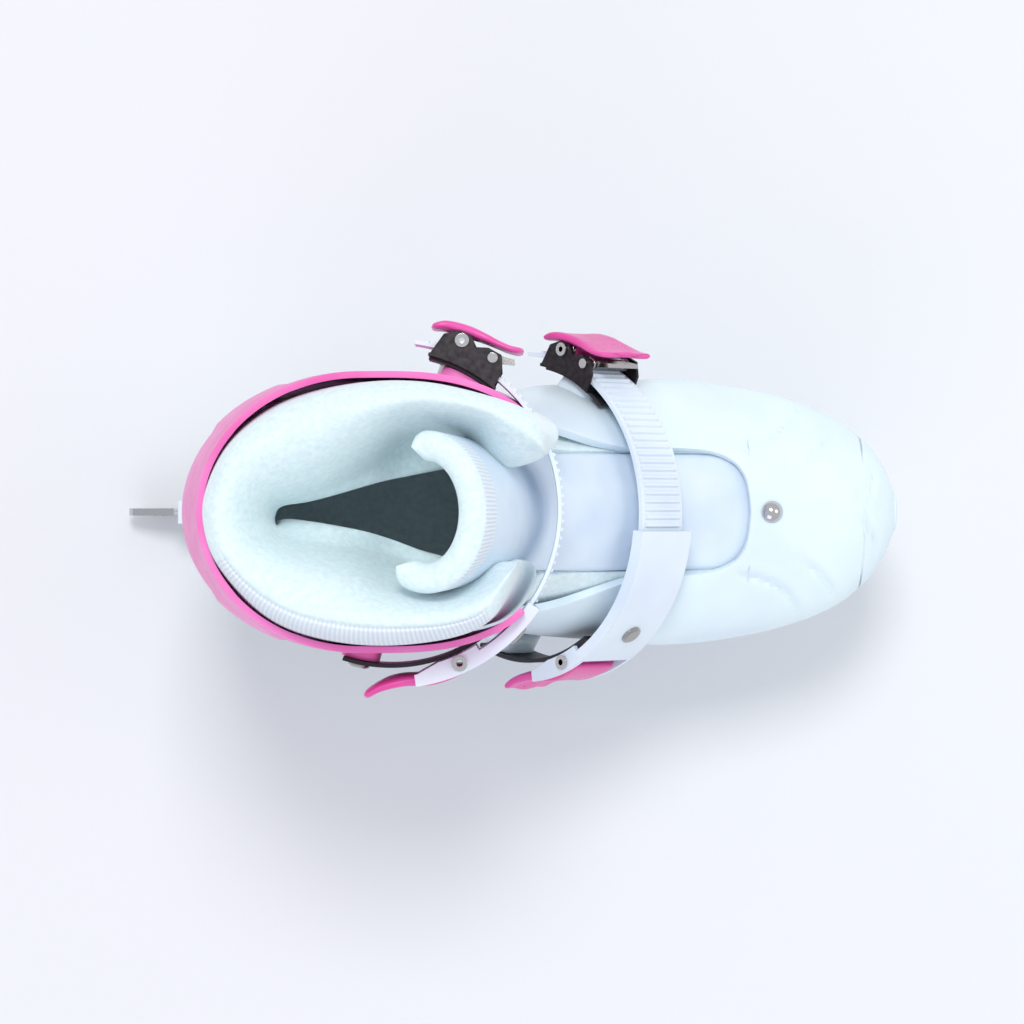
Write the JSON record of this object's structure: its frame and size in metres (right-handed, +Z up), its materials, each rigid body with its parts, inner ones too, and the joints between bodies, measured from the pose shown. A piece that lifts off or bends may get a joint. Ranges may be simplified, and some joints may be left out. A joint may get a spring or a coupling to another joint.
{
  "type": "ice skate",
  "caption": "Hard-shell ice skate for the left foot with a hinged cuff, a plush inner boot, ladder straps with ratchet and toggle buckles, and a steel blade in a plastic holder.",
  "frame": {"origin": "middle of the blade's running edge, under the boot", "axes": "+X towards the toe, +Y towards the outer side of the foot, +Z up"},
  "size_m": [0.314, 0.1375, 0.262],
  "materials": {
    "shell_white": "moulded, semi-gloss",
    "holder_white": "moulded, semi-gloss",
    "blade_steel": "ground and polished",
    "nickel": "nickel plated",
    "screw_steel": "zinc plated",
    "footbed_grey": "moulded board",
    "plush_white": "brushed plush",
    "strap_black": "moulded",
    "cuff_pink": "moulded, satin",
    "dark_steel": "black nickel plated",
    "spring_steel": "bright drawn wire",
    "strap_white": "moulded, satin",
    "lever_pink": "moulded, satin"
  },
  "bodies": {
    "boot": {"lower_shell": "shell_white", "blade_holder": "holder_white", "blade": "blade_steel", "blade_rivets": "nickel", "holder_screws": "screw_steel", "holder_tnuts": "screw_steel", "footbed": "footbed_grey", "liner_foot": "plush_white", "tongue_lower": "plush_white", "toe_rivet": "nickel", "toe_rivet_washer": "nickel", "ankle_rivets": "nickel", "ankle_washers": "strap_black", "instep_ratchet_frame": "dark_steel", "instep_base_leaf": "strap_black", "instep_frame_rivets": "nickel", "instep_lever_pin": "nickel", "instep_pawl_pin": "nickel", "instep_lever_spring": "spring_steel", "instep_pawl_spring": "spring_steel", "instep_base_strap": "strap_black", "instep_anchor_screw": "screw_steel"},
    "cuff": {"cuff": "cuff_pink", "liner_collar": "plush_white", "tongue_upper": "plush_white", "cuff_ratchet_frame": "dark_steel", "cuff_base_leaf": "strap_black", "cuff_frame_rivets": "nickel", "cuff_lever_pin": "nickel", "cuff_pawl_pin": "nickel", "cuff_lever_spring": "spring_steel", "cuff_pawl_spring": "spring_steel", "cuff_base_strap": "strap_black", "cuff_anchor_screw": "screw_steel"},
    "instep_strap": {"instep_ladder_strap": "strap_white", "instep_strap_holder": "strap_white", "instep_toggle_pin": "nickel", "instep_strap_screw": "screw_steel"},
    "instep_lever": {"instep_ratchet_lever": "lever_pink"},
    "instep_pawl": {"instep_lock_pawl": "spring_steel"},
    "instep_toggle": {"instep_toggle_lever": "lever_pink"},
    "cuff_strap": {"cuff_ladder_strap": "strap_white", "cuff_strap_holder": "strap_white", "cuff_toggle_pin": "nickel", "cuff_strap_screw": "screw_steel"},
    "cuff_lever": {"cuff_ratchet_lever": "lever_pink"},
    "cuff_pawl": {"cuff_lock_pawl": "spring_steel"},
    "cuff_toggle": {"cuff_toggle_lever": "lever_pink"}
  },
  "joints": [
    {"name": "cuff_flex", "type": "hinge", "parent": "boot", "child": "cuff", "pos_m": [-0.062, 0, 0.128], "axis": [0, 1, 0], "range_deg": [-3, 8]},
    {"name": "instep_strap_slide", "type": "hinge", "parent": "boot", "child": "instep_strap", "pos_m": [0.01289, -0.0005, 0.10378], "axis": [-0.7071, 0, 0.7071], "range_deg": [-5.59, 8.39]},
    {"name": "instep_lever_lift", "type": "hinge", "parent": "boot", "child": "instep_lever", "pos_m": [0.02916, 0.06347, 0.12004], "axis": [-0.7071, 0, 0.7071], "range_deg": [0, 20], "stiffness_Nm_per_rad": 0.05},
    {"name": "instep_pawl_release", "type": "hinge", "parent": "boot", "child": "instep_pawl", "pos_m": [0.03739, 0.05764, 0.12827], "axis": [0.7071, 0, -0.7071], "range_deg": [0, 12], "stiffness_Nm_per_rad": 0.02},
    {"name": "instep_toggle_open", "type": "hinge", "parent": "instep_strap", "child": "instep_toggle", "pos_m": [0.02947, -0.05854, 0.12036], "axis": [-0.7071, 0, 0.7071], "range_deg": [0, 70]},
    {"name": "cuff_strap_slide", "type": "hinge", "parent": "cuff", "child": "cuff_strap", "pos_m": [-0.04454, 0.001, 0.20162], "axis": [0, 0, 1], "range_deg": [-5.64, 8.46]},
    {"name": "cuff_lever_lift", "type": "hinge", "parent": "cuff", "child": "cuff_lever", "pos_m": [-0.01844, 0.06323, 0.20162], "axis": [0, 0, 1], "range_deg": [0, 20], "stiffness_Nm_per_rad": 0.05},
    {"name": "cuff_pawl_release", "type": "hinge", "parent": "cuff", "child": "cuff_pawl", "pos_m": [-0.00713, 0.0568, 0.20162], "axis": [0, 0, -1], "range_deg": [0, 12], "stiffness_Nm_per_rad": 0.02},
    {"name": "cuff_toggle_open", "type": "hinge", "parent": "cuff_strap", "child": "cuff_toggle", "pos_m": [-0.01929, -0.05573, 0.20162], "axis": [0, 0, 1], "range_deg": [0, 70]}
  ]
}
